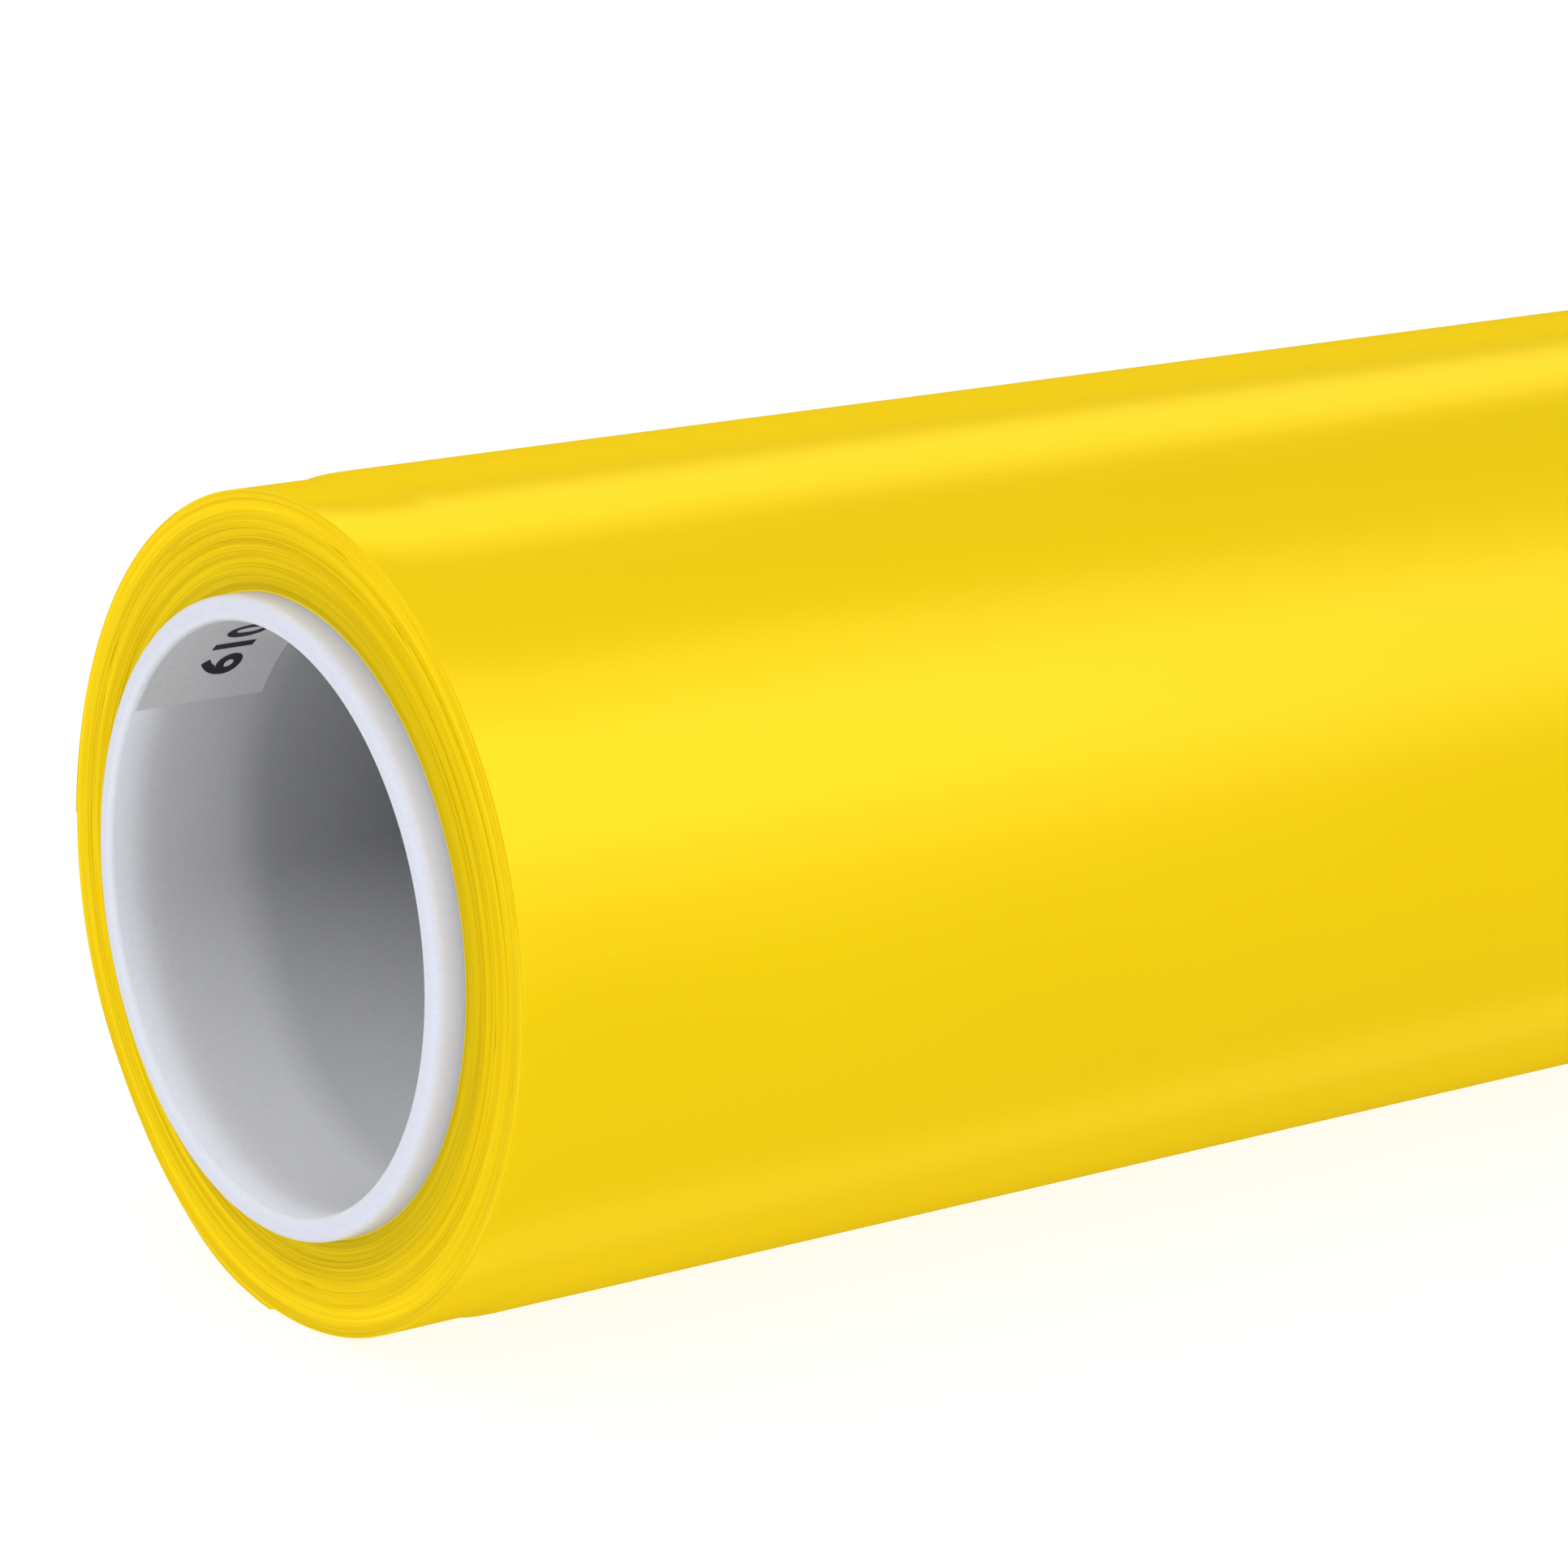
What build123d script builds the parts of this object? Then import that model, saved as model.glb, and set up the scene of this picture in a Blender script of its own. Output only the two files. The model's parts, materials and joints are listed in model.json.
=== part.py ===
from build123d import *
import os
from math import cos, degrees, radians, sin

# Wide roll of film tape on a plastic core. Millimetres. The core's axis is X, the roll lies on
# its side with Z up, and the origin is on the axis at the middle of the roll's length.
# Angles round the roll are taken about +X, from +Y (0) through +Z (90).

# Core
bore_radius = 38.1  # for a three inch shaft
core_wall = 3.2
core_overhang = 4.2  # core past the tape, at each end
lip_outer_round = 1.3
lip_inner_chamfer = 0.8

# Label inside the bore, at the near end
label_thickness = 0.1
label_inset = 1.0  # from the core's end
label_width = 19.0
label_length = 60.0  # round the bore
label_first_angle = 33.5

# Tape: film and adhesive together, one length wound on the core
tape_width = 610.0
film_thickness = 0.125
first_turn_count = 25  # smooth, wound tight on the core
middle_turn_count = 40
outer_turn_count = 40
last_turn_count = 2  # these carry the free end
turns_per_bundle = 6  # turns that wander sideways together
middle_wander = 0.24
outer_wander = 0.16

# Shoulder: the tape builds up a little less near its edges
shoulder_length = 16.0
shoulder_taper = 3.0
shoulder_drop = 0.45

# Free end of the tape, in strips that hinge on each other
tail_root_angle = 62.0  # where the free end leaves the roll
tail_length = 57.0
tail_strip_count = 5
tail_clearance = 0.05  # under the free end
strip_gap = 0.04  # between neighbouring strips

core_radius = bore_radius + core_wall
core_length = tape_width + 2 * core_overhang
first_radius = core_radius + first_turn_count * film_thickness
middle_radius = first_radius + middle_turn_count * film_thickness
outer_radius = middle_radius + outer_turn_count * film_thickness

# The roll's outside is a spiral of two half turns. Each half is an arc about its own centre, and
# the two centres lie either side of the axis on the line through the root of the free end.
spiral_step = film_thickness + tail_clearance  # gained in one whole turn
centre_offset = spiral_step / 4
high_half_radius = outer_radius + last_turn_count * film_thickness
low_half_radius = high_half_radius - spiral_step / 2
tail_inner_radius = low_half_radius + tail_clearance
tail_outer_radius = tail_inner_radius + film_thickness


def around(angle, radius):
    # a place on the YZ plane
    return (0, radius * cos(radians(angle)), radius * sin(radians(angle)))


def axis_at(angle, distance):
    # a line along X, beside the roll's own axis
    return Axis(around(angle, distance), (1, 0, 0))


def section_plane(angle):
    # local x runs along the roll and local y runs outward at this angle
    return Plane(origin=(0, 0, 0), x_dir=(1, 0, 0), z_dir=around(angle + 90, 1))


def sideways(turn, wander):
    # how far a bundle stands out at the far end, and back at the near end
    return wander * (0.6 * sin(1.9 * turn) + 0.4 * sin(0.83 * turn))


def outside_points(radius, near_end, far_end):
    # the outer edge of a section, with a shoulder towards each end
    low = radius - shoulder_drop
    near_shoulder = near_end + shoulder_length
    far_shoulder = far_end - shoulder_length
    return [
        (near_end, low),
        (near_shoulder - shoulder_taper, low),
        (near_shoulder, radius),
        (far_shoulder, radius),
        (far_shoulder + shoulder_taper, low),
        (far_end, low),
    ]


def bundle_points(inner_radius, turn_count, first_turn, wander):
    # the stepped near end of a group of turns, from the inside out
    points = []
    for turn in range(0, turn_count, turns_per_bundle):
        bundle = min(turns_per_bundle, turn_count - turn)
        low = inner_radius + turn * film_thickness
        high = low + bundle * film_thickness
        end = sideways(first_turn + turn, wander) - tape_width / 2
        points.append((end, low))
        points.append((end, high))
    return points


def far_points(near_points):
    # every turn is as wide as the tape, so the far end repeats the near end's steps
    return [(x + tape_width, y) for x, y in reversed(near_points)]


os.makedirs("parts", exist_ok=True)


def save(part, name):
    part.label = name
    export_step(part, f"parts/{name}.step")


# Core tube, with lips rounded outside and eased into the bore
with BuildPart() as core_tube:
    with BuildSketch(Plane.XY) as core_section:
        with Locations((0, bore_radius + core_wall / 2)):
            Rectangle(core_length, core_wall)
        fillet(core_section.vertices().group_by(Axis.Y)[-1], lip_outer_round)
        chamfer(core_section.vertices().group_by(Axis.Y)[0], lip_inner_chamfer)
    revolve(axis=Axis.X)
save(core_tube.part, "core_tube")

# Paper label stuck to the wall of the bore
label_sweep = degrees(label_length / bore_radius)
label_plane = Plane.YZ.offset(label_inset - core_length / 2)
with BuildPart() as core_label:
    with BuildSketch(label_plane):
        with BuildLine():
            back = CenterArc((0, 0), bore_radius, label_first_angle, label_sweep)
            face = CenterArc((0, 0), bore_radius - label_thickness, label_first_angle, label_sweep)
            Line(back @ 0, face @ 0)
            Line(back @ 1, face @ 1)
        make_face()
    extrude(amount=label_width)
save(core_label.part, "core_label")

# First turns, wound tight enough on the core to leave smooth ends
with BuildPart() as first_turns:
    with BuildSketch(Plane.XY):
        with Locations((0, (core_radius + first_radius) / 2)):
            Rectangle(tape_width, first_radius - core_radius)
    revolve(axis=Axis.X)
save(first_turns.part, "first_turns")

# Middle and outer turns, in bundles that step in and out at the ends
middle_steps = bundle_points(first_radius, middle_turn_count, first_turn_count, middle_wander)
with BuildPart() as middle_turns:
    with BuildSketch(Plane.XY):
        with BuildLine():
            Polyline(*middle_steps, *far_points(middle_steps), close=True)
        make_face()
    revolve(axis=Axis.X)
save(middle_turns.part, "middle_turns")

outer_first_turn = first_turn_count + middle_turn_count
outer_steps = bundle_points(middle_radius, outer_turn_count, outer_first_turn, outer_wander)
near_end = outer_steps[-1][0]
far_end = near_end + tape_width
with BuildPart() as outer_turns:
    with BuildSketch(Plane.XY):
        with BuildLine():
            Polyline(
                *outer_steps[:-1],
                *outside_points(outer_radius, near_end, far_end),
                *far_points(outer_steps)[1:],
                close=True,
            )
        make_face()
    revolve(axis=Axis.X)
save(outer_turns.part, "outer_turns")

# Last turns: two half turns of the spiral, with one step where the free end leaves
half_turns = (
    (centre_offset, high_half_radius, (1, 0, 0)),
    (-centre_offset, low_half_radius, (-1, 0, 0)),
)
with BuildPart() as last_turns:
    for offset_out, radius, turning in half_turns:
        with BuildSketch(section_plane(tail_root_angle)):
            with BuildLine():
                Polyline(
                    (near_end, offset_out),
                    *outside_points(offset_out + radius, near_end, far_end),
                    (far_end, offset_out),
                    close=True,
                )
            make_face()
        revolve(axis=Axis(around(tail_root_angle, offset_out), turning), revolution_arc=180)
    with BuildSketch(Plane.XY) as wound_inside:
        with BuildLine():
            Polyline(
                (near_end, 0),
                *outside_points(outer_radius, near_end, far_end),
                (far_end, 0),
                close=True,
            )
        make_face()
    revolve(axis=Axis.X, mode=Mode.SUBTRACT)
save(last_turns.part, "last_turns")

# Free end: strips of the same tape, lying on the lower half turn and concentric with it
low_centre = around(tail_root_angle, -centre_offset)
strip_sweep = degrees(tail_length / tail_strip_count / tail_outer_radius)
gap_sweep = degrees(strip_gap / tail_outer_radius)
for number in range(tail_strip_count):
    strip_end_angle = tail_root_angle - (number + 1) * strip_sweep
    strip_plane = Plane(origin=low_centre, x_dir=(1, 0, 0), z_dir=around(strip_end_angle + 90, 1))
    with BuildPart() as tail_strip:
        with BuildSketch(strip_plane):
            with BuildLine():
                Polyline(
                    *outside_points(tail_outer_radius, near_end, far_end),
                    *reversed(outside_points(tail_inner_radius, near_end, far_end)),
                    close=True,
                )
            make_face()
        revolve(axis=Axis(low_centre, (1, 0, 0)), revolution_arc=strip_sweep - gap_sweep)
    save(tail_strip.part, f"tail_strip_{number + 1}")
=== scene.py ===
import json
import math
import random

import bmesh
import bpy
from mathutils import Matrix, Vector, noise


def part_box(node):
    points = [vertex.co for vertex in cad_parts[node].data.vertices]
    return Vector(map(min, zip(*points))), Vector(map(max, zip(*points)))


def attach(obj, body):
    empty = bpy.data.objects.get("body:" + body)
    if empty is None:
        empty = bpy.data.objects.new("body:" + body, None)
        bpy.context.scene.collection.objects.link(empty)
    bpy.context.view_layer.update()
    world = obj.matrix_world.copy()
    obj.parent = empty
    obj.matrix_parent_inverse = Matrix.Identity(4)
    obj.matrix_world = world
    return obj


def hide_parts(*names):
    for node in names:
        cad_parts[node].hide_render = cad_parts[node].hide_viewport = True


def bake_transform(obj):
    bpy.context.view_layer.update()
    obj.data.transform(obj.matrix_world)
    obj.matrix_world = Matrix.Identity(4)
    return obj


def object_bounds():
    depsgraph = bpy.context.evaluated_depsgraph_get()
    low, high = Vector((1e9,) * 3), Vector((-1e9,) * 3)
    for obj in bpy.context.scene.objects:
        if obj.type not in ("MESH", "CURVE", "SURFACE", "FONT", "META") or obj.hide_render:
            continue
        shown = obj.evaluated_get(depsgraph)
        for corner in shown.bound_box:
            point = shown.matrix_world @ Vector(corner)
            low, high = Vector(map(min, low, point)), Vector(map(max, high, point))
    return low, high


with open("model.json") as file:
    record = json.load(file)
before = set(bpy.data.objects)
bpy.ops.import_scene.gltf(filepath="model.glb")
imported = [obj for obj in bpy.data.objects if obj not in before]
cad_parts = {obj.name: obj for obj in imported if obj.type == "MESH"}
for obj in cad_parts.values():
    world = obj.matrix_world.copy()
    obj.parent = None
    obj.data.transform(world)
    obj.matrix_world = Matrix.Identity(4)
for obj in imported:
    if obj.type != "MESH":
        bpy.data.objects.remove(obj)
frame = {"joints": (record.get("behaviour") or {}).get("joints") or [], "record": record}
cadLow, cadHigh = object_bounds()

# A wide roll of yellow film tape on a white plastic core.
# Metres, in the CAD frame: X along the roll, Z up. Angles round the roll run from +Y towards +Z, and
# in the dictionaries they are degrees.

mm = 0.001


def sizesFromFrame():
    # every length that the looks share with the CAD parts
    record = frame["record"]
    bore = next(m for m in record["mounts"] if m["name"] == "core_bore")
    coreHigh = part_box("core_tube")[1]
    lastLow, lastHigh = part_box("last_turns")
    return {
        "boreRadius": bore["dims"]["r_mm"] * mm,
        "coreRadius": coreHigh.y,
        "coreHalfLength": coreHigh.x,
        "firstRadius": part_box("first_turns")[1].y,
        "middleRadius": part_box("middle_turns")[1].y,
        "outerRadius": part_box("outer_turns")[1].y,
        "lastRadius": lastHigh.z,
        "tapeLow": lastLow.x,
        "tapeHigh": lastHigh.x,
        "floor": cadLow.z,
    }


size = sizesFromFrame()

film = {
    "thickness": 0.125 * mm,
    "roundSegments": 256,
    # for this length at each end the outside lies lower by the drop, easing out over the taper
    "shoulderLength": 16 * mm,
    "shoulderTaper": 3 * mm,
    "shoulderDrop": 0.45 * mm,
    "spiralStep": 0.175 * mm,  # how much the radius falls over the last turn
}


def finishPiece(bm, name, body, materials, smoothAngle=30):
    # turns a bmesh into a named piece that rides on its body
    bmesh.ops.recalc_face_normals(bm, faces=bm.faces)
    mesh = bpy.data.meshes.new(name)
    bm.to_mesh(mesh)
    bm.free()
    for material in materials:
        mesh.materials.append(material)
    mesh.shade_smooth()
    mesh.set_sharp_from_angle(angle=math.radians(smoothAngle))
    piece = bpy.data.objects.new(name, mesh)
    bpy.context.scene.collection.objects.link(piece)
    if body:
        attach(piece, body)
    return piece


def spinSection(points, segments):
    # a closed section in the XY plane, spun once round the roll's axis
    bm = bmesh.new()
    corners = [bm.verts.new((x, radius, 0)) for x, radius in points]
    for first, second in zip(corners, corners[1:] + corners[:1]):
        bm.edges.new((first, second))
    bmesh.ops.spin(
        bm, geom=bm.verts[:] + bm.edges[:], cent=(0, 0, 0), axis=(1, 0, 0),
        angle=math.tau, steps=segments, use_merge=True)
    return bm


def radiusOf(point):
    return math.hypot(point.y, point.z)


def angleOf(point):
    return math.atan2(point.z, point.y)


def placeRound(x, radius, angle):
    return Vector((x, radius * math.cos(angle), radius * math.sin(angle)))


def smoothStep(value):
    share = min(max(value, 0.0), 1.0)
    return share * share * (3 - 2 * share)


def newMaterial(name):
    material = bpy.data.materials.new(name)
    material.use_nodes = True
    nodes = material.node_tree.nodes
    return material, nodes, material.node_tree.links, nodes["Principled BSDF"]


def addNode(nodes, kind, **values):
    node = nodes.new(kind)
    for key, value in values.items():
        setattr(node, key, value)
    return node


def setInputs(node, **values):
    for key, value in values.items():
        node.inputs[key.replace("_", " ")].default_value = value


def addMath(nodes, links, operation, *values):
    # a Math node whose inputs are sockets or plain numbers
    node = addNode(nodes, "ShaderNodeMath", operation=operation)
    for socket, value in zip(node.inputs, values):
        if isinstance(value, bpy.types.NodeSocket):
            links.new(value, socket)
        else:
            socket.default_value = value
    return node.outputs[0]


def addNoise(nodes, links, scale, detail, roughness):
    # noise that is fixed to the piece
    place = nodes.new("ShaderNodeTexCoord")
    texture = nodes.new("ShaderNodeTexNoise")
    setInputs(texture, Scale=scale, Detail=detail, Roughness=roughness)
    links.new(place.outputs["Object"], texture.inputs["Vector"])
    return texture.outputs["Fac"]


def addRange(nodes, links, source, **values):
    node = nodes.new("ShaderNodeMapRange")
    setInputs(node, **values)
    links.new(source, node.inputs["Value"])
    return node.outputs["Result"]


def addRamp(nodes, links, source, stops):
    ramp = nodes.new("ShaderNodeValToRGB")
    elements = ramp.color_ramp.elements
    while len(elements) < len(stops):
        elements.new(0.5)
    for element, (place, colour) in zip(elements, stops):
        element.position = place
        element.color = (*colour, 1)
    links.new(source, ramp.inputs["Fac"])
    return ramp.outputs["Color"]


def addScale(nodes, links, colour, share):
    shade = addNode(nodes, "ShaderNodeVectorMath", operation="SCALE")
    links.new(colour, shade.inputs[0])
    links.new(share, shade.inputs["Scale"])
    return shade.outputs[0]


def addBump(nodes, links, shader, source, strength, distance):
    bump = nodes.new("ShaderNodeBump")
    setInputs(bump, Strength=strength, Distance=distance)
    links.new(source, bump.inputs["Height"])
    links.new(bump.outputs["Normal"], shader.inputs["Normal"])


def newGroup(name, inputs, outputs):
    # a shader node group with named float sockets
    group = bpy.data.node_groups.new(name, "ShaderNodeTree")
    for labels, side in ((inputs, "INPUT"), (outputs, "OUTPUT")):
        for label in labels:
            group.interface.new_socket(label, in_out=side, socket_type="NodeSocketFloat")
    start, end = group.nodes.new("NodeGroupInput"), group.nodes.new("NodeGroupOutput")
    return group, group.nodes, group.links, start, end


def placeGroup(nodes, group, **values):
    node = nodes.new("ShaderNodeGroup")
    node.node_tree = group
    setInputs(node, **values)
    return node


groupLook = {
    "speckAbove": 0.82,  # a cell has a speck if its random tone is above this
    "toneScale": 0.5,
    "toneDetail": 2.0,
    "toneRoughness": 0.6,
}


def makeRollPlaceGroup():
    # distance from the roll's axis, the angle round it as a share of a turn, and X along it
    group, nodes, links, start, end = newGroup("rollPlace", (), ("Radius", "Turn", "Along"))
    place = nodes.new("ShaderNodeTexCoord")
    split = nodes.new("ShaderNodeSeparateXYZ")
    links.new(place.outputs["Object"], split.inputs[0])
    flat = nodes.new("ShaderNodeCombineXYZ")
    links.new(split.outputs["Y"], flat.inputs["Y"])
    links.new(split.outputs["Z"], flat.inputs["Z"])
    length = addNode(nodes, "ShaderNodeVectorMath", operation="LENGTH")
    links.new(flat.outputs[0], length.inputs[0])
    angle = addMath(nodes, links, "ARCTAN2", split.outputs["Z"], split.outputs["Y"])
    links.new(length.outputs["Value"], end.inputs["Radius"])
    links.new(addMath(nodes, links, "DIVIDE", angle, math.tau), end.inputs["Turn"])
    links.new(split.outputs["X"], end.inputs["Along"])
    return group


def makeSpecksGroup():
    # sparse dust and nicks: 1 at a speck and 0 elsewhere
    group, nodes, links, start, end = newGroup("specks", ("Scale", "Size"), ("Mask",))
    place = nodes.new("ShaderNodeTexCoord")
    cells = addNode(nodes, "ShaderNodeTexVoronoi", feature="F1", distance="EUCLIDEAN")
    links.new(place.outputs["Object"], cells.inputs["Vector"])
    links.new(start.outputs["Scale"], cells.inputs["Scale"])
    small = addMath(nodes, links, "LESS_THAN", cells.outputs["Distance"], start.outputs["Size"])
    split = nodes.new("ShaderNodeSeparateXYZ")
    links.new(cells.outputs["Color"], split.inputs[0])
    rare = addMath(nodes, links, "GREATER_THAN", split.outputs["X"], groupLook["speckAbove"])
    links.new(addMath(nodes, links, "MULTIPLY", small, rare), end.inputs["Mask"])
    return group


def makeTurnToneGroup():
    # a tone that jumps from turn to turn and drifts slowly along each one
    group, nodes, links, start, end = newGroup("turnTone", ("Across", "Round", "Seed"), ("Tone",))
    place = placeGroup(nodes, rollPlace)
    across = addMath(nodes, links, "MULTIPLY", place.outputs["Radius"], start.outputs["Across"])
    angle = addMath(nodes, links, "MULTIPLY", place.outputs["Turn"], math.tau)
    spot = nodes.new("ShaderNodeCombineXYZ")
    links.new(across, spot.inputs["X"])
    for operation, axis in (("COSINE", "Y"), ("SINE", "Z")):
        swing = addMath(nodes, links, operation, angle)
        links.new(addMath(nodes, links, "MULTIPLY", swing, start.outputs["Round"]), spot.inputs[axis])
    tone = addNode(nodes, "ShaderNodeTexNoise", noise_dimensions="4D")
    setInputs(
        tone, Scale=groupLook["toneScale"], Detail=groupLook["toneDetail"],
        Roughness=groupLook["toneRoughness"])
    links.new(spot.outputs[0], tone.inputs["Vector"])
    links.new(start.outputs["Seed"], tone.inputs["W"])
    links.new(tone.outputs["Fac"], end.inputs["Tone"])
    return group


rollPlace = makeRollPlaceGroup()
turnTone = makeTurnToneGroup()
specks = makeSpecksGroup()


# In these dictionaries a noise is its scale, detail and roughness, a bump its strength and distance,
# and dust its scale, its size as a share of a cell and the roughness of the clean and dusty parts.

filmLook = {
    "colours": [(0.35, (0.98, 0.682, 0.0018)), (0.65, (1.0, 0.702, 0.0024))],
    "cloud": (9.0, 3.0, 0.5),
    "dust": (260.0, 0.045, 0.24, 0.49),
    "metallic": 0.15,
    "specular": 0.22,
    "grain": (2600.0, 2.0, 0.6),
    "bump": (0.35, 0.02 * mm),
}


def addDust(nodes, links, shader, scale, share, clean, dusty):
    # specks that are rougher than the rest
    dust = placeGroup(nodes, specks, Scale=scale, Size=share)
    rough = addRange(nodes, links, dust.outputs["Mask"], To_Min=clean, To_Max=dusty)
    links.new(rough, shader.inputs["Roughness"])


def makeFilmMaterial():
    # the tape's smooth outside: satin film with a fine grain and slow clouding
    material, nodes, links, shader = newMaterial("tapeFilm")
    setInputs(shader, Metallic=filmLook["metallic"], Specular_IOR_Level=filmLook["specular"])
    cloud = addNoise(nodes, links, *filmLook["cloud"])
    links.new(addRamp(nodes, links, cloud, filmLook["colours"]), shader.inputs["Base Color"])
    addDust(nodes, links, shader, *filmLook["dust"])
    addBump(nodes, links, shader, addNoise(nodes, links, *filmLook["grain"]), *filmLook["bump"])
    return material


edgeLook = {
    # from the core outwards, as a share of the winding: a bright seam, then deeper yellow that lightens
    # outward, which is painted shade from the core's protruding end
    "colours": [
        (0.0, (1.0, 0.78, 0.05)), (0.014, (1.0, 0.78, 0.05)), (0.022, (0.8, 0.568, 0.0004)),
        (0.25, (0.8, 0.568, 0.0004)), (0.55, (0.88, 0.628, 0.001)), (0.97, (0.95, 0.69, 0.004))],
    # tone lines: how many to the metre, how much they change round the roll, seed, darkest, lightest
    "fine": (8000.0, 2.0, 0.0, 0.89, 1.09),
    "bands": (1600.0, 1.2, 40.0, 0.83, 1.16),
    "toneSpan": (0.25, 0.75),
    "roughness": 0.5,
    "specular": 0.05,
    "bump": (0.8, 0.05 * mm),
}


def makeEdgeMaterial():
    # the wound edges: deeper yellow beside the core as painted shade from the core's protruding end, with
    # a fine line for each turn
    material, nodes, links, shader = newMaterial("tapeEdges")
    setInputs(shader, Roughness=edgeLook["roughness"], Specular_IOR_Level=edgeLook["specular"])
    place = placeGroup(nodes, rollPlace)
    outward = addRange(
        nodes, links, place.outputs["Radius"], From_Min=size["coreRadius"], From_Max=size["lastRadius"])
    # painted shade: the ramp darkens the edges next to the core and lightens them outward
    colour = addRamp(nodes, links, outward, edgeLook["colours"])
    low, high = edgeLook["toneSpan"]
    lines, shades = [], []
    for across, around, seed, dark, light in (edgeLook["fine"], edgeLook["bands"]):
        group = placeGroup(nodes, turnTone, Across=across, Round=around, Seed=seed)
        lines.append(group.outputs["Tone"])
        shades.append(addRange(
            nodes, links, lines[-1], From_Min=low, From_Max=high, To_Min=dark, To_Max=light))
    both = addMath(nodes, links, "MULTIPLY", *shades)
    links.new(addScale(nodes, links, colour, both), shader.inputs["Base Color"])
    addBump(nodes, links, shader, lines[0], *edgeLook["bump"])
    return material


coreLook = {
    # painted light and shade inside the bore, by distance in from the nearer end: a painted glow just
    # inside the mouth, then painted shade deeper in with a painted shadow edge at about 18 to 24 mm,
    # easing off further in
    "borePaintedGlowAndShade": [
        (0.0, (0.76, 0.79, 0.87)), (0.008, (0.83, 0.85, 0.92)), (0.02, (0.79, 0.80, 0.85)),
        (0.04, (0.61, 0.615, 0.64)), (0.056, (0.56, 0.565, 0.585)), (0.12, (0.515, 0.52, 0.535)),
        (0.16, (0.385, 0.39, 0.405)), (0.3, (0.32, 0.325, 0.345)), (0.45, (0.33, 0.335, 0.35)),
        (1.0, (0.6, 0.605, 0.62))],
    # on the lip and the outside, the same way: the lip's own bluish white, then painted shade darkening
    # the outside towards the tape
    "lipColourAndPaintedShade": [(0.0, (0.725, 0.755, 0.87)), (0.008, (0.70, 0.74, 0.9)), (0.028, (0.505, 0.56, 0.79))],
    "lipFrom": (0.3 * mm, 1.2 * mm),  # the lip's tones take over this far out from the bore's wall
    "toneReach": 150 * mm,
    "grain": (1500.0, 3.0, 0.6),
    "grainSpan": (0.3, 0.7),
    "grainTone": (0.97, 1.02),
    "dust": (420.0, 0.05, 0.38, 0.58),
    "bump": (0.3, 0.03 * mm),
    "specular": 0.3,
    "scatter": 0.25,
    "scatterReach": 3 * mm,
}


def makeCoreMaterial():
    # white extruded plastic with painted light and shade: a painted glow at the lips standing in for light
    # coming through the plastic, painted shade greying down the bore, and painted shade on the outside
    # towards the tape
    material, nodes, links, shader = newMaterial("corePlastic")
    setInputs(
        shader, Subsurface_Weight=coreLook["scatter"], Subsurface_Scale=coreLook["scatterReach"],
        Subsurface_Radius=(1.0, 1.0, 1.0), Specular_IOR_Level=coreLook["specular"])
    spot = placeGroup(nodes, rollPlace)
    end = size["coreHalfLength"]
    fromMiddle = addMath(nodes, links, "ABSOLUTE", spot.outputs["Along"])
    depth = addRange(nodes, links, fromMiddle, From_Min=end, From_Max=end - coreLook["toneReach"])
    low, high = (size["boreRadius"] + reach for reach in coreLook["lipFrom"])
    outward = addRange(nodes, links, spot.outputs["Radius"], From_Min=low, From_Max=high)
    tone = addNode(nodes, "ShaderNodeMix", data_type="RGBA")
    links.new(outward, tone.inputs["Factor"])
    # painted glow and painted shade down the bore
    links.new(addRamp(nodes, links, depth, coreLook["borePaintedGlowAndShade"]), tone.inputs["A"])
    # the lip's own colour, with painted shade on its outside towards the tape
    links.new(addRamp(nodes, links, depth, coreLook["lipColourAndPaintedShade"]), tone.inputs["B"])
    grain = addNoise(nodes, links, *coreLook["grain"])
    low, high = coreLook["grainSpan"]
    dark, light = coreLook["grainTone"]
    mottle = addRange(nodes, links, grain, From_Min=low, From_Max=high, To_Min=dark, To_Max=light)
    links.new(addScale(nodes, links, tone.outputs["Result"], mottle), shader.inputs["Base Color"])
    addDust(nodes, links, shader, *coreLook["dust"])
    addBump(nodes, links, shader, grain, *coreLook["bump"])
    return material


# tapeAdhesive, the free end's underside, is clear tack over the yellow film; labelPaper is matt, with a
# fibre tone; labelInk is dark blue-black print, a little thin in places.
noiseLooks = {
    "tapeAdhesive": {
        "noise": (140.0, 3.0, 0.55),
        "colours": [(0.3, (0.86, 0.6, 0.02)), (0.7, (0.93, 0.68, 0.05))],
        "roughness": (0.4, 0.6),
        "bump": (0.4, 0.1 * mm),
        "shader": {"Coat_Weight": 0.4, "Coat_Roughness": 0.35, "Specular_IOR_Level": 0.4},
    },
    "labelPaper": {
        "noise": (1800.0, 4.0, 0.7),
        "colours": [(0.3, (0.60, 0.60, 0.61)), (0.7, (0.68, 0.68, 0.69))],
        "roughness": (0.7, 0.85),
        "bump": (0.3, 0.03 * mm),
        "shader": {"Specular_IOR_Level": 0.2},
    },
    "labelInk": {
        "noise": (2400.0, 3.0, 0.7),
        "colours": [(0.45, (0.006, 0.006, 0.014)), (0.8, (0.03, 0.03, 0.05))],
        "roughness": (0.45, 0.6),
        "bump": None,
        "shader": {},
    },
}


def makeNoiseMaterial(name):
    # one noise sets the colour and the roughness, and raises the surface a little
    look = noiseLooks[name]
    material, nodes, links, shader = newMaterial(name)
    setInputs(shader, **look["shader"])
    texture = addNoise(nodes, links, *look["noise"])
    links.new(addRamp(nodes, links, texture, look["colours"]), shader.inputs["Base Color"])
    smooth, rough = look["roughness"]
    links.new(addRange(nodes, links, texture, To_Min=smooth, To_Max=rough), shader.inputs["Roughness"])
    if look["bump"]:
        addBump(nodes, links, shader, texture, *look["bump"])
    return material


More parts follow.
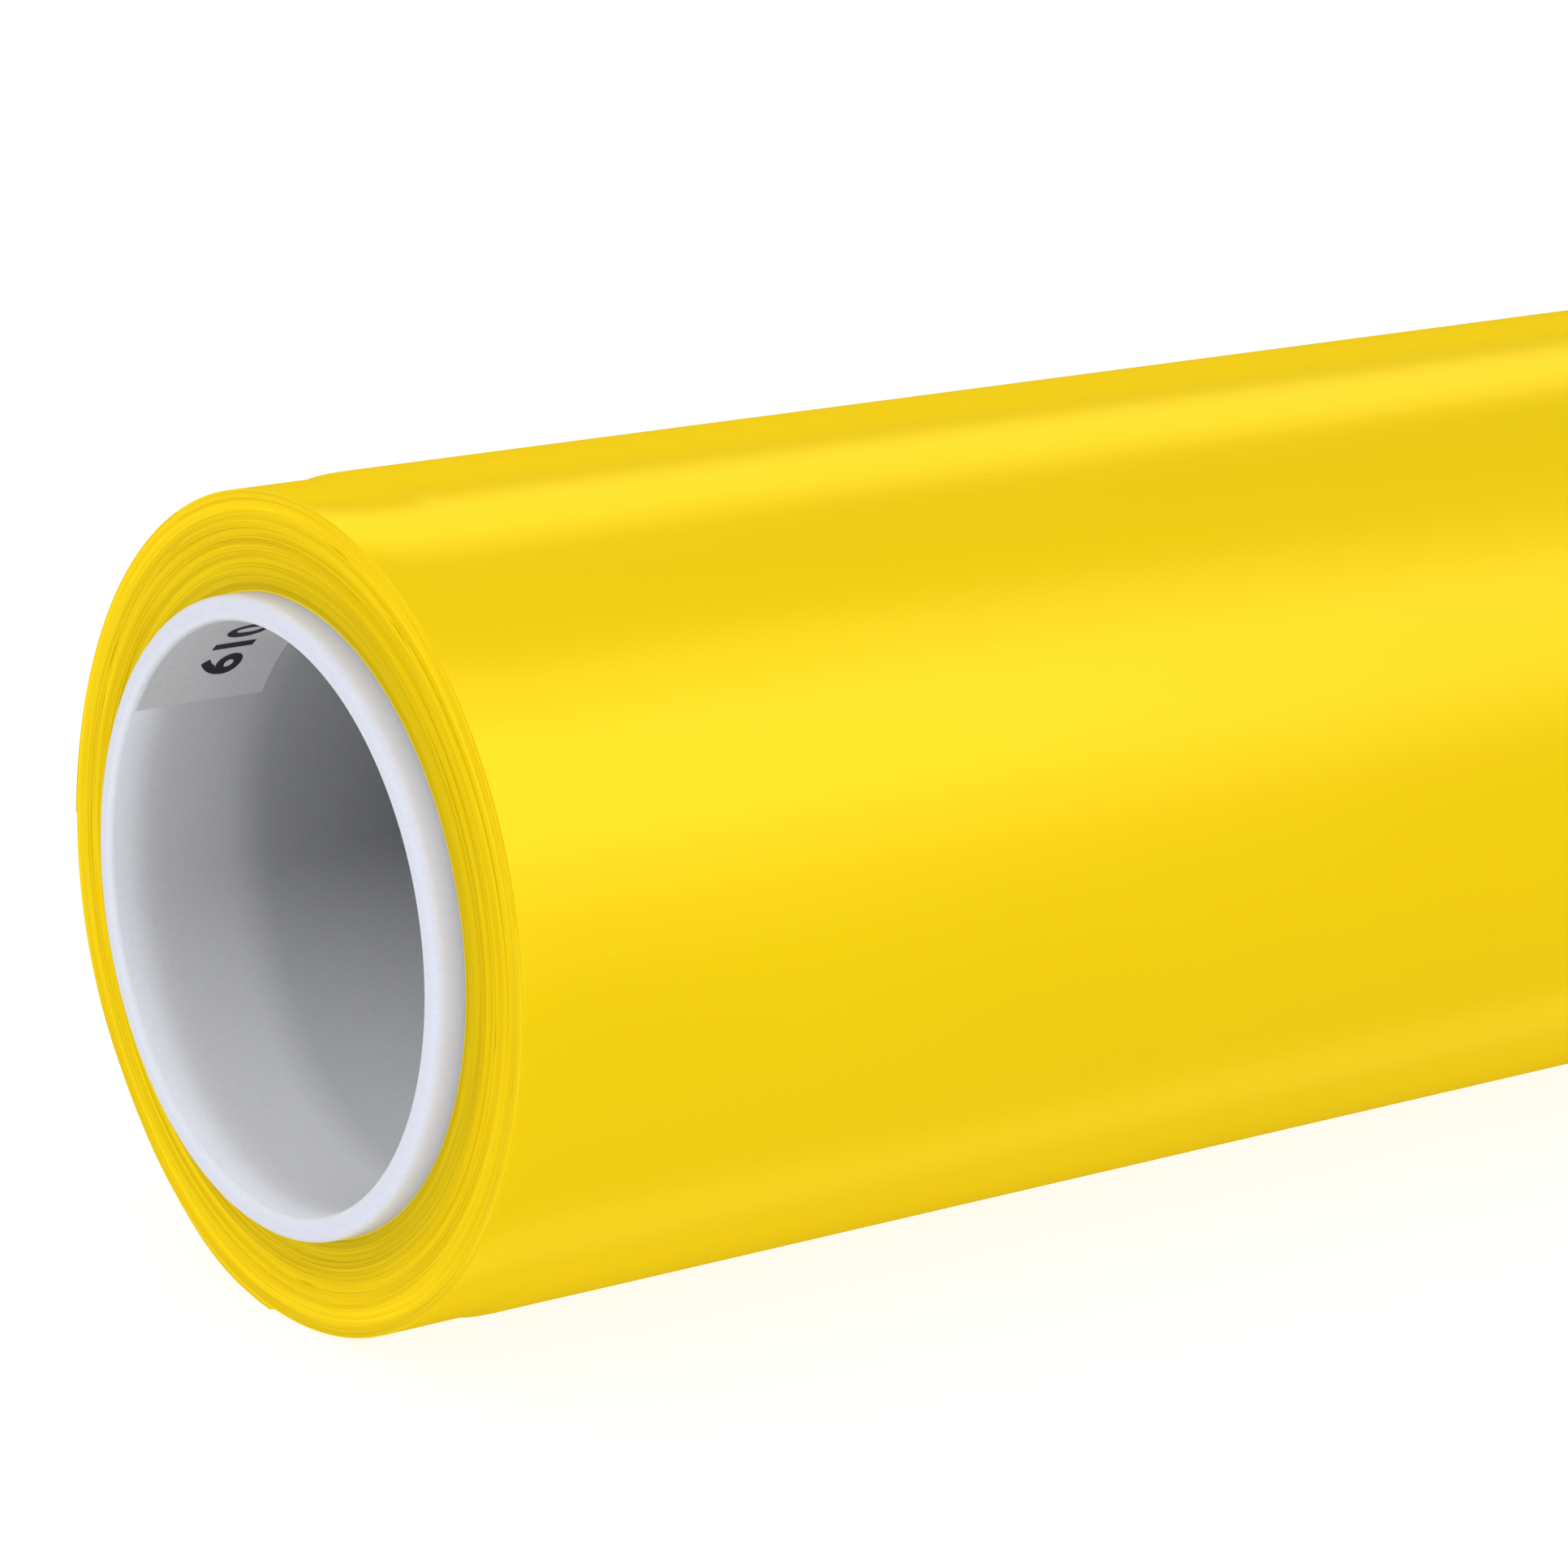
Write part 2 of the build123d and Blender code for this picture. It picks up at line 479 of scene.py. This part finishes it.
tapeFilm = makeFilmMaterial()
tapeEdges = makeEdgeMaterial()
tapeAdhesive = makeNoiseMaterial("tapeAdhesive")
corePlastic = makeCoreMaterial()
labelPaper = makeNoiseMaterial("labelPaper")
labelInk = makeNoiseMaterial("labelInk")
print("materials made")


view = {
    "lens": 133.1,
    "sensorWidth": 36,
    "clip": (0.01, 50),  # nearest and farthest
    "azimuth": -35.9,  # looks towards +Y, turned this far to +X
    "elevation": 14.11,
    "distance": 0.775,
    "aimPastNearEnd": 0.0816,
    "aimHeight": 0.0058,
}


def makeCamera():
    data = bpy.data.cameras.new("camera")
    data.lens = view["lens"]
    data.sensor_width = view["sensorWidth"]
    data.clip_start, data.clip_end = view["clip"]
    camera = bpy.data.objects.new("camera", data)
    bpy.context.scene.collection.objects.link(camera)
    turn, rise = math.radians(view["azimuth"]), math.radians(view["elevation"])
    back = Vector((math.sin(turn) * math.cos(rise), -math.cos(turn) * math.cos(rise), math.sin(rise)))
    aim = Vector((cadLow.x + view["aimPastNearEnd"], 0, view["aimHeight"]))
    camera.location = aim + back * view["distance"]
    camera.rotation_euler = (-back).to_track_quat("-Z", "Y").to_euler()
    bpy.context.scene.camera = camera


makeCamera()
print("camera made")


coreShape = {
    "lipOuter": 1.3 * mm,
    "lipInner": 0.9 * mm,
    "lipSegments": 6,
    "sameSpot": 0.001 * mm,  # nearer than this counts as touching
    "smoothAngle": 60,
}


def same(first, second):
    return abs(first - second) < coreShape["sameSpot"]


def bevelRings(bm, radius, amount):
    # rounds the two end edges that run round the tube at this radius
    end = size["coreHalfLength"]
    ring = [
        e for e in bm.edges
        if all(same(radiusOf(v.co), radius) and same(abs(v.co.x), end) for v in e.verts)
        and same(e.verts[0].co.x, e.verts[1].co.x)
    ]
    bmesh.ops.bevel(
        bm, geom=ring, offset=amount, offset_type="OFFSET", segments=coreShape["lipSegments"],
        profile=0.5, affect="EDGES", material=-1, clamp_overlap=True)


def makeCore():
    end = size["coreHalfLength"]
    bore, outside = size["boreRadius"], size["coreRadius"]
    bm = spinSection([(-end, bore), (-end, outside), (end, outside), (end, bore)], film["roundSegments"])
    bevelRings(bm, outside, coreShape["lipOuter"])
    bevelRings(bm, bore, coreShape["lipInner"])
    piece = finishPiece(
        bm, "core", "roll", [corePlastic], smoothAngle=coreShape["smoothAngle"])
    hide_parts("core_tube")


makeCore()
print("core made")


label = {
    "inset": 1.0 * mm,
    "width": 19.0 * mm,
    "length": 60.0 * mm,
    "firstAngle": 33.5,
    "thickness": 0.1 * mm,
    "standoff": 0.01 * mm,  # between the bore's wall and the label's back
    "segments": (12, 64),  # across and round
    "print": "610 mm x 33 m",
    "printHeight": 5.7 * mm,
    "printDepthFromRim": 13.8 * mm,
    "printFirstAngle": 41.0,
    "printWeight": 0.045,  # how much bolder than the plain font, as a share of the height
    "printCapShare": 0.7,  # how much of the font's size a figure's height takes
    "printCuts": 60,
    "printMerge": 1e-5,  # as a share of the height
    "printLift": 0.025 * mm,
    "printStretch": 1.2,
}


def makeLabel():
    near = -size["coreHalfLength"] + label["inset"]
    radius = size["boreRadius"] - label["standoff"]
    bm = bmesh.new()
    alongCount, roundCount = label["segments"]
    bmesh.ops.create_grid(bm, x_segments=alongCount, y_segments=roundCount, size=0.5)
    first = math.radians(label["firstAngle"])
    for v in bm.verts:
        along, around = v.co.x + 0.5, v.co.y + 0.5
        v.co = placeRound(near + along * label["width"], radius, first + around * label["length"] / radius)
    raised = bmesh.ops.extrude_face_region(bm, geom=bm.faces[:])
    for v in raised["geom"]:
        if isinstance(v, bmesh.types.BMVert):
            v.co = placeRound(v.co.x, radius - label["thickness"], angleOf(v.co))
    piece = finishPiece(bm, "coreLabel", "roll", [labelPaper])
    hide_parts("core_label")


def makeLabelPrint():
    # generic figures, one unit high and flat at first, then scaled and wrapped round the bore
    curve = bpy.data.curves.new("printText", "FONT")
    curve.body = label["print"]
    curve.size = 1 / label["printCapShare"]
    curve.offset = label["printWeight"]
    text = bpy.data.objects.new("printText", curve)
    bpy.context.scene.collection.objects.link(text)
    bpy.context.view_layer.update()
    flat = bpy.data.meshes.new_from_object(text)
    bpy.data.objects.remove(text)
    bm = bmesh.new()
    bm.from_mesh(flat)
    bpy.data.meshes.remove(flat)
    length = max(v.co.x for v in bm.verts)
    for cut in range(1, label["printCuts"]):
        bmesh.ops.bisect_plane(
            bm, geom=bm.verts[:] + bm.edges[:] + bm.faces[:], dist=label["printMerge"],
            plane_co=(length * cut / label["printCuts"], 0, 0), plane_no=(1, 0, 0))
    bmesh.ops.remove_doubles(bm, verts=bm.verts, dist=label["printMerge"])
    radius = size["boreRadius"] - label["thickness"] - label["printLift"]
    base = -size["coreHalfLength"] + label["printDepthFromRim"]
    first = math.radians(label["printFirstAngle"])
    height, width = label["printHeight"], label["printHeight"] * label["printStretch"]
    for v in bm.verts:
        v.co = placeRound(base - v.co.y * height, radius, first + v.co.x * width / radius)
    finishPiece(bm, "labelPrint", "roll", [labelInk])


makeLabel()
makeLabelPrint()
print("label made")


winding = {
    "gap": 0.012 * mm,  # groove between neighbouring turns
    # sideways drift: how far, how fast it changes from turn to turn and round the roll, and its seed
    "bundles": (0.2 * mm, 0.23, 0.7, 0),
    "singles": (0.1 * mm, 0.83, 0.8, 90),
    "waves": (0.014 * mm, 5.7, 2.5, 30),
    "weaveTurns": 3.5,  # how many turns the drift's lines wander across on their way round
    "weaveRound": 1.1,
    "weaveSeed": 5.0,
    "farSeed": 40.0,  # added at the far end, which drifts in its own way
    "smoothShare": 0.2,  # how much of the drift the tight first turns keep
    "smoothUntil": 0.55,  # as a share of the first turns
    "nickCount": 9,  # at each end
    "nickSeed": 11,
    "nickTurns": (45, 98),
    "nickDepth": 0.3 * mm,
    "nickAcross": 0.9,  # turns
    "nickRound": 2.2,  # degrees
    "nickCut": 3,  # turns, past which a nick is nothing
}


def driftNoise(values, turn, y, z, side):
    reach, across, around, seed = values
    return reach * noise.noise(Vector((across * turn + seed, around * y + side, around * z)))


def sidewaysDrift(turn, angle, far):
    # how far one turn's edge stands out, in metres
    y, z = math.cos(angle), math.sin(angle)
    side = winding["farSeed"] if far else 0.0
    around = winding["weaveRound"]
    wander = noise.noise(Vector((around * y + side, around * z, winding["weaveSeed"])))
    weave = turn + winding["weaveTurns"] * wander
    return (
        driftNoise(winding["bundles"], weave, y, z, side)
        + driftNoise(winding["singles"], weave, y, z, side)
        + driftNoise(winding["waves"], turn, y, z, side))


def placeNicks():
    # short knocks in the wound edges: turn, angle and which end
    random.seed(winding["nickSeed"])
    return [
        (random.uniform(*winding["nickTurns"]), random.uniform(-math.pi, math.pi), number % 2 == 1)
        for number in range(winding["nickCount"] * 2)
    ]


nicks = placeNicks()


def nickDepth(turn, angle, far):
    deep = 0
    for nickTurn, nickAngle, nickFar in nicks:
        if far == nickFar and abs(turn - nickTurn) < winding["nickCut"]:
            across = (turn - nickTurn) / winding["nickAcross"]
            away = math.remainder(angle - nickAngle, math.tau) / math.radians(winding["nickRound"])
            deep += math.exp(-across * across - away * away)
    return winding["nickDepth"] * deep


firstCount = round((size["firstRadius"] - size["coreRadius"]) / film["thickness"])
shoulderRadius = size["outerRadius"] - film["shoulderDrop"]


def calmNearCore(turn):
    # the first turns lie smooth, then the drift sets in
    share = winding["smoothShare"]
    return share + (1 - share) * smoothStep(turn / firstCount - winding["smoothUntil"])


def makeTurns(name, node, innerRadius, outerRadius, firstTurn):
    # a ring for each turn of film, with grooves between; gives back the number of the next turn
    count = round((outerRadius - innerRadius) / film["thickness"])
    step = (outerRadius - innerRadius) / count
    gap = winding["gap"]
    nearSide, farSide = [], []
    for turn in range(count):
        low, high = innerRadius + turn * step + gap, innerRadius + (turn + 1) * step - gap
        nearSide += [(size["tapeLow"], low), (size["tapeLow"], high)]
        farSide += [(size["tapeHigh"], low), (size["tapeHigh"], high)]
    bm = spinSection(nearSide + farSide[::-1], film["roundSegments"])
    for v in bm.verts:
        turn = firstTurn + int((radiusOf(v.co) - innerRadius) / step)
        far = v.co.x > 0
        angle = angleOf(v.co)
        drift = sidewaysDrift(turn, angle, far) * calmNearCore(turn)
        drift -= nickDepth(turn, angle, far)
        v.co.x += drift if far else -drift
    bm.normal_update()
    for face in bm.faces:
        along = max(v.co.x for v in face.verts) - min(v.co.x for v in face.verts)
        face.material_index = 0 if along > size["tapeHigh"] else 1
    piece = finishPiece(bm, name, "roll", [tapeFilm, tapeEdges])
    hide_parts(node)
    return firstTurn + count


nextTurn = 0
for name, node, inner, outer in (
    ("firstTurns", "first_turns", size["coreRadius"], size["firstRadius"]),
    ("middleTurns", "middle_turns", size["firstRadius"], size["middleRadius"]),
    ("outerTurns", "outer_turns", size["middleRadius"], shoulderRadius),
):
    nextTurn = makeTurns(name, node, inner, outer, nextTurn)
print("wound turns made")


tail = {
    "rootAngle": 62.0,
    "length": 57.0 * mm,
    "roundSegments": 12,
    "lengthSegments": 160,
    "edgeWave": 0.12 * mm,  # how much the end edge stands off
    "edgePower": 6,  # the higher, the nearer to the edge that starts
}

outside = {
    "lengthSegments": 160,
    "crowding": 0.115,  # how much closer the stations stand towards the ends
    # swells over the whole outside and puckers near its ends: how far, then how many to the metre
    # along the roll and how fast round it
    "slowWave": (0.05 * mm, 6.0, 1.1),
    "endWave": (0.05 * mm, 38.0, 3.4),
    "endWaveReach": 14 * mm,
    "softReach": 3 * mm,
    # the shoulder is a step this far round either side of here, then fades into a soft roll-off
    "stepMiddle": -12,
    "stepHalf": 98,
    "stepFade": 22,
    # soft dents and swells by the near end: from the end mm, angle, reach along mm, reach round, rise mm
    "dents": (
        (0, -12, 9, 16, 0.34),
        (0, -38, 8, 8, -0.32),
        (0, -68, 10, 11, 0.58),
        (11, -130, 10, 14, -0.1),
        (24, -104, 5, 6, -0.2),
    ),
    "dentCut": 4,  # times its reach, past which a dent is nothing
    "farDents": 120,  # the far end's dents lie this far round from the near end's
    "liftAngle": -84,  # where a lifted edge under the outside ends
    "liftRise": 0.5 * mm,
    "liftEdge": 1.2,  # degrees
    "liftRound": 30,  # degrees
    "liftAlong": 9 * mm,
}


def shoulderFall(x, angle):
    # how much lower the outside lies near either end: a step over part of the round, elsewhere a roll-off
    fromEnd = min(x - size["tapeLow"], size["tapeHigh"] - x)
    start = film["shoulderLength"] - film["shoulderTaper"]
    step = 1 - smoothStep((fromEnd - start) / film["shoulderTaper"])
    soft = math.exp(-max(fromEnd, 0) / outside["softReach"])
    away = abs(math.remainder(math.degrees(angle) - outside["stepMiddle"], 360))
    stepped = 1 - smoothStep((away - outside["stepHalf"]) / outside["stepFade"])
    return film["shoulderDrop"] * (stepped * step + (1 - stepped) * soft)


def dentRise(x, angle):
    # the same few dents at both ends, and one lifted edge at the near end
    fromNear, fromFar = (x - size["tapeLow"]) / mm, (size["tapeHigh"] - x) / mm
    rise = 0
    for place, dentAngle, along, around, height in outside["dents"]:
        for fromEnd, shift in ((fromNear, 0), (fromFar, outside["farDents"])):
            if abs(fromEnd - place) < outside["dentCut"] * along:
                away = math.remainder(math.degrees(angle) - dentAngle - shift, 360) / around
                rise += height * mm * math.exp(-((fromEnd - place) / along) ** 2 - away * away)
    past = math.remainder(math.degrees(angle) - outside["liftAngle"], 360)
    lifted = smoothStep(past / outside["liftEdge"]) * smoothStep(1 - past / outside["liftRound"])
    return rise + outside["liftRise"] * lifted * math.exp(-((fromNear * mm / outside["liftAlong"]) ** 2))


def waveNoise(values, x, angle):
    height, along, around = values
    return height * noise.noise(Vector((along * x, around * math.cos(angle), around * math.sin(angle))))


def surfaceWave(x, angle):
    # slow swells round the roll and, close to each end, short puckers
    fromEnd = min(x - size["tapeLow"], size["tapeHigh"] - x)
    nearEnd = math.exp(-max(fromEnd, 0) / outside["endWaveReach"])
    slow = waveNoise(outside["slowWave"], x, angle)
    pucker = waveNoise(outside["endWave"], x, angle)
    return slow + nearEnd * pucker + dentRise(x, angle)


def spiralRadius(turned):
    # the outside's radius after this share of the last turn, counted from the free end's root
    return size["lastRadius"] - film["spiralStep"] * turned


def stations(count):
    # places along the roll, closer together towards its ends
    evens = [step / count for step in range(count + 1)]
    shares = [even - outside["crowding"] * math.sin(math.tau * even) for even in evens]
    return [size["tapeLow"] + share * (size["tapeHigh"] - size["tapeLow"]) for share in shares]


def makeSlab(alongCount, roundCount, fromAngle, toAngle, outerRadius, innerRadius):
    # a bent sheet with thickness: a flat grid wrapped round the roll, then extruded inward; its three
    # materials are the outside, the cut edges and the underside
    places = stations(alongCount)
    bm = bmesh.new()
    bmesh.ops.create_grid(bm, x_segments=alongCount, y_segments=roundCount, size=0.5)
    for v in bm.verts:
        x = places[round((v.co.x + 0.5) * alongCount)]
        share = v.co.y + 0.5
        angle = fromAngle + share * (toAngle - fromAngle)
        v.co = placeRound(x, outerRadius(x, angle, share), angle)
    under = bmesh.ops.extrude_face_region(bm, geom=bm.faces[:])["geom"]
    underVerts = {v for v in under if isinstance(v, bmesh.types.BMVert)}
    for v in underVerts:
        angle = angleOf(v.co)
        v.co = placeRound(v.co.x, innerRadius(v.co.x, angle, radiusOf(v.co)), angle)
    for face in bm.faces:
        if all(v in underVerts for v in face.verts):
            face.material_index = 2
        elif any(v in underVerts for v in face.verts):
            face.material_index = 1
    return bm


def makeLastTurns():
    root = math.radians(tail["rootAngle"])

    def outerRadius(x, angle, share):
        return spiralRadius(share) - shoulderFall(x, angle) + surfaceWave(x, angle)

    def innerRadius(x, angle, above):
        return shoulderRadius

    bm = makeSlab(
        outside["lengthSegments"], film["roundSegments"], root, root + math.tau, outerRadius, innerRadius)
    piece = finishPiece(bm, "lastTurns", "roll", [tapeFilm, tapeEdges, tapeEdges])
    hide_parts("last_turns")


def makeTail():
    # the free end: one bent strip for each hinge
    hinges = [Vector(j["pos_m"]) for j in frame["joints"]]
    count = len(hinges)
    outer = spiralRadius(0)
    sweep = tail["length"] / count / outer
    root = math.radians(tail["rootAngle"])

    def outerRadius(x, angle, share):
        past = (root - angle) / (count * sweep)
        lift = tail["edgeWave"] * past ** tail["edgePower"]
        return outer - shoulderFall(x, angle) + surfaceWave(x, angle) + lift

    def innerRadius(x, angle, above):
        return above - film["thickness"]

    for number in range(count):
        fromAngle, toAngle = root - number * sweep, root - (number + 1) * sweep
        bm = makeSlab(
            tail["lengthSegments"], tail["roundSegments"], fromAngle, toAngle, outerRadius, innerRadius)
        name = f"tailStrip{number + 1}"
        piece = finishPiece(bm, name, None, [tapeFilm, tapeEdges, tapeAdhesive])
        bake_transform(piece)
        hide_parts(f"tail_strip_{number + 1}")


makeLastTurns()
makeTail()
print("last turns and free end made")


studio = {
    "floorSize": 8.0,
    "floorColour": (0.22, 0.22, 0.22),
    "floorGlow": 0.84,
    "floorRoughness": 0.9,
    "floorDrop": 0.1 * mm,  # below the roll
    "worldStrength": 1.0,
    "cards": (
        # angle up from the -Y side, distance, width across, radiance, colour
        ("frontCard", 38, 1.2, 0.8, 0.7, (1, 1, 1)),
        ("frontGlow", 38, 1.3, 1.6, 0.55, (1, 1, 1)),
        ("frontEdge", 33, 1.4, 2.6, 0.35, (1, 1, 1)),
        ("topCard", 128, 1.2, 0.5, 1.6, (1, 0.93, 0.25)),
        ("underCard", -95, 1.2, 0.45, 0.62, (1, 0.92, 0.2)),
        ("backEdge", 168, 1.2, 0.8, 0.8, (1, 0.72, 0.02)),
        ("lowEdge", -140, 1.2, 1.4, 0.55, (1, 0.72, 0.02)),
    ),
    # beyond each end, for views along the roll: distance, height, size, radiance, colour
    "endCard": (2.2, 0.3, 1.5, 0.55, (1, 0.92, 0.6)),
    "cardLength": 2.0,
    "cardMiddle": 0.2,
    "keyPlace": (-0.43, -1.33, 0.54),  # from the middle of the near end
    "keySize": (0.12, 0.4),
    "keyRadiance": 8.0,
    "boreCardDepth": (0.017, 0.1),  # first and last place, from the mouth of the bore
    "boreCardAngle": -80,
    "boreCardWidth": 0.01,
    "boreCardRadiance": 5.6,
    "boreCardSpread": 150.0,
}


def makeFloor():
    bm = bmesh.new()
    bmesh.ops.create_grid(bm, x_segments=1, y_segments=1, size=studio["floorSize"] / 2)
    mesh = bpy.data.meshes.new("floor")
    bm.to_mesh(mesh)
    bm.free()
    floor = bpy.data.objects.new("floor", mesh)
    floor.location = (0, 0, size["floor"] - studio["floorDrop"])
    bpy.context.scene.collection.objects.link(floor)
    material, nodes, links, shader = newMaterial("floorPaper")
    setInputs(
        shader, Base_Color=(*studio["floorColour"], 1), Roughness=studio["floorRoughness"],
        Specular_IOR_Level=0.0, Emission_Color=(1, 1, 1, 1), Emission_Strength=studio["floorGlow"])
    mesh.materials.append(material)
    floor.visible_glossy = False


def makeWorld():
    # even white light, which gloss doesn't mirror: only the cards make highlights
    world = bpy.data.worlds.new("studioWorld")
    world.use_nodes = True
    bpy.context.scene.world = world
    background = world.node_tree.nodes["Background"]
    setInputs(background, Color=(1, 1, 1, 1), Strength=studio["worldStrength"])
    world.cycles_visibility.glossy = False


def makeLight(name, place, aim, long, wide, radiance, colour=(1, 1, 1)):
    # a rectangle of light, its first side along the roll; radiance is what a mirror would show
    data = bpy.data.lights.new(name, "AREA")
    data.shape = "RECTANGLE"
    data.size, data.size_y = wide, long
    data.energy = radiance * math.pi * wide * long
    data.color = colour
    light = bpy.data.objects.new(name, data)
    light.location = place
    out = (place - aim).normalized()
    across = out.cross(Vector((1, 0, 0))).normalized()
    along = out.cross(across)
    light.rotation_euler = Matrix((across, along, out)).transposed().to_euler()
    light.visible_camera = False
    bpy.context.scene.collection.objects.link(light)
    return light


def makeCard(name, angle, distance, width, radiance, colour):
    # a long softbox beside the roll, seen by gloss only
    turn = math.radians(angle)
    toward = Vector((0, -math.cos(turn), math.sin(turn)))
    middle = Vector((studio["cardMiddle"], 0, 0))
    card = makeLight(
        name, middle + toward * distance, middle, studio["cardLength"], width, radiance, colour)
    card.visible_diffuse = False


def makeKey():
    # lights the near end from in front and above; gloss doesn't show it
    nearEnd = Vector((cadLow.x, 0, 0))
    place = nearEnd + Vector(studio["keyPlace"])
    key = makeLight("key", place, nearEnd, *studio["keySize"], studio["keyRadiance"])
    key.visible_glossy = False


def makeEndLights(side):
    # a soft card beyond one end, and a narrow one on the bore's axis turned down onto its lower wall
    distance, height, wide, radiance, colour = studio["endCard"]
    place = Vector((side * distance, 0, height))
    endCard = makeLight("endCard", place, Vector(), wide, wide, radiance, colour)
    endCard.visible_diffuse = False
    first, last = studio["boreCardDepth"]
    place = Vector((side * (size["coreHalfLength"] - (first + last) / 2), 0, 0))
    aim = place + placeRound(0, size["boreRadius"], math.radians(studio["boreCardAngle"]))
    bore = makeLight(
        "boreCard", place, aim, last - first, studio["boreCardWidth"], studio["boreCardRadiance"])
    bore.data.spread = math.radians(studio["boreCardSpread"])
    bore.visible_glossy = False


makeFloor()
makeWorld()
makeKey()
for side in (-1, 1):
    makeEndLights(side)
for card in studio["cards"]:
    makeCard(*card)
bpy.context.scene.view_settings.view_transform = "Standard"
print("floor and light made")
